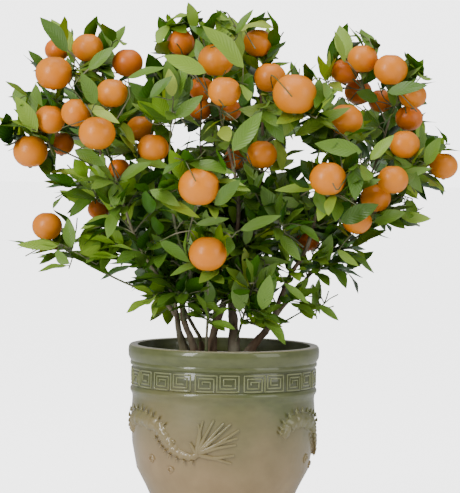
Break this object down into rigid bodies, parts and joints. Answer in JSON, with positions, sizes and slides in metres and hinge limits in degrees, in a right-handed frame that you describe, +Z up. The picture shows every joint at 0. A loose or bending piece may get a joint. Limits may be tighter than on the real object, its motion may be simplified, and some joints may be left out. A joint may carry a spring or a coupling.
{
  "type": "potted cleopatra mandarin tree",
  "caption": "Small mandarin tree in a round glazed pot: slim stems and boughs, masses of leaves with upright round orange fruit, and a greek key band round the pot.",
  "frame": {"origin": "middle of the pot's flat underside", "axes": "+Z up along the pot's axis, -Y towards the front, +X to the right across the pot"},
  "size_m": [0.5766, 0.4111, 0.6621],
  "materials": {
    "glazed_pot": "glossy celadon glaze",
    "bark_compost": "loose, dark",
    "bark": "rough bark",
    "foliage": "satin leaves with orange fruit"
  },
  "bodies": {
    "root": {"pot": "glazed_pot", "soil": "bark_compost", "stem_left": "bark", "stem_brown": "bark", "stem_short": "bark", "stem_middle": "bark", "stem_thick": "bark", "stem_right": "bark", "stem_shoot": "bark", "bough_left_high": "bark", "bough_left_front": "bark", "bough_green": "bark", "bough_low_left": "bark", "bough_brown": "bark", "bough_slim": "bark", "bough_centre": "bark", "bough_dark": "bark", "bough_upright": "bark", "bough_back": "bark", "bough_right": "bark", "bough_far": "bark", "bough_right_tip": "bark", "bough_right_up": "bark", "bough_clump": "bark", "bough_sprig": "bark", "foliage_left_top": "foliage", "foliage_left_outer": "foliage", "foliage_left_front": "foliage", "foliage_left_under": "foliage", "foliage_low_left": "foliage", "foliage_inner_left": "foliage", "foliage_centre_left": "foliage", "foliage_top_left": "foliage", "foliage_top": "foliage", "foliage_centre_front": "foliage", "foliage_centre_behind": "foliage", "foliage_top_right": "foliage", "foliage_centre_right": "foliage", "foliage_front": "foliage", "foliage_middle": "foliage", "foliage_low_front": "foliage", "foliage_low_clump": "foliage", "foliage_right_middle": "foliage", "foliage_right_top": "foliage", "foliage_right_high": "foliage", "foliage_right_inner": "foliage", "foliage_right_outer": "foliage", "foliage_right_front": "foliage", "foliage_right_low": "foliage", "foliage_sprig": "foliage", "foliage_back_left": "foliage", "foliage_back_low_left": "foliage", "foliage_back_top": "foliage", "foliage_back_middle": "foliage", "foliage_back_inner": "foliage", "foliage_back_right": "foliage", "foliage_back_low_right": "foliage"}
  },
  "joints": []
}
